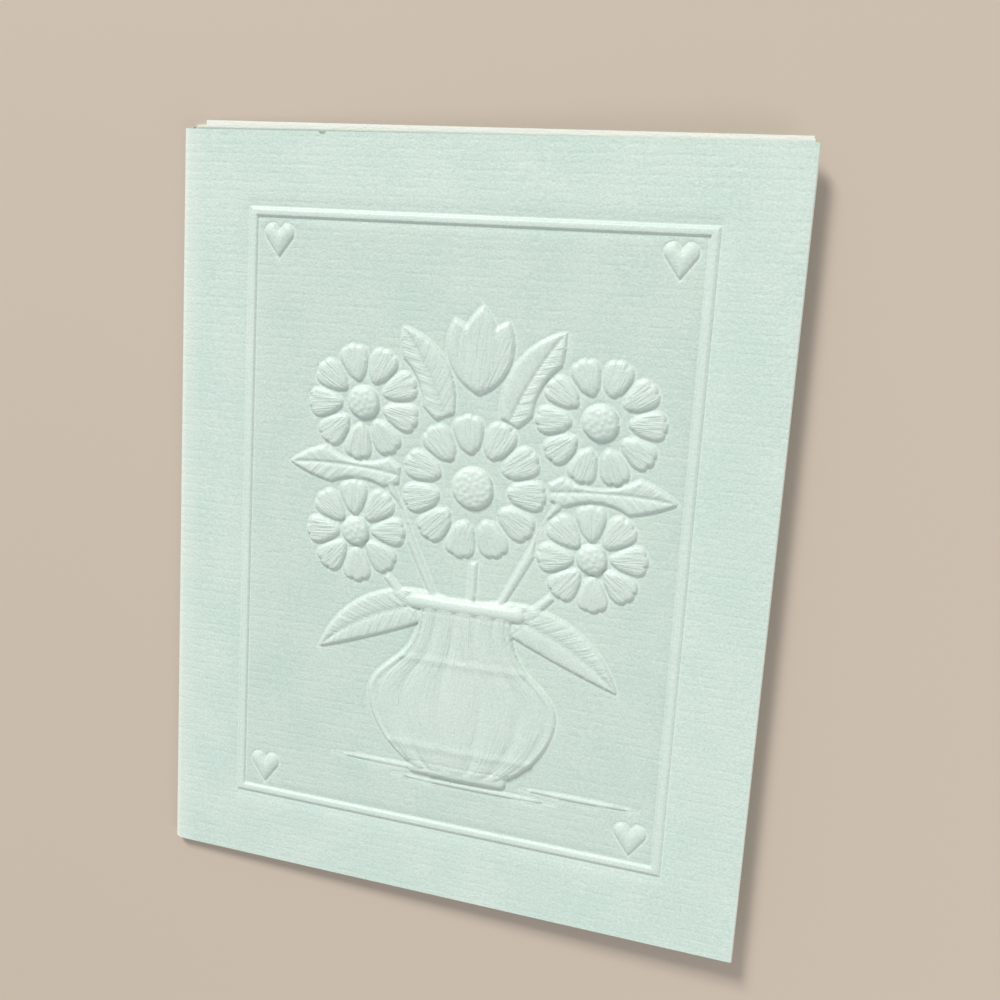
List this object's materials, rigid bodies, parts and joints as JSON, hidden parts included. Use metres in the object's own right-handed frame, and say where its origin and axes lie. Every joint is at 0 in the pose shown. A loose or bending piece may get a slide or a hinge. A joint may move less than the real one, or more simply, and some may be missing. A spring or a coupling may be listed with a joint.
{
  "type": "embossed greeting card",
  "caption": "Folded note card of heavy laid paper, blind embossed on its front with a ribbon frame, corner hearts and a vase of daisies, lying closed on its back.",
  "frame": {"origin": "middle of the back panel's outer face, on the surface that the card lies on", "axes": "+X from the spine to the fore edge, +Y up the card as it is read, +Z away from the surface, out of the embossed front"},
  "size_m": [0.108, 0.1413, 0.005],
  "materials": {
    "card_stock": "uncoated laid card, pale mint white, faintly pearlescent"
  },
  "bodies": {
    "root": {"card": "card_stock"}
  },
  "joints": []
}
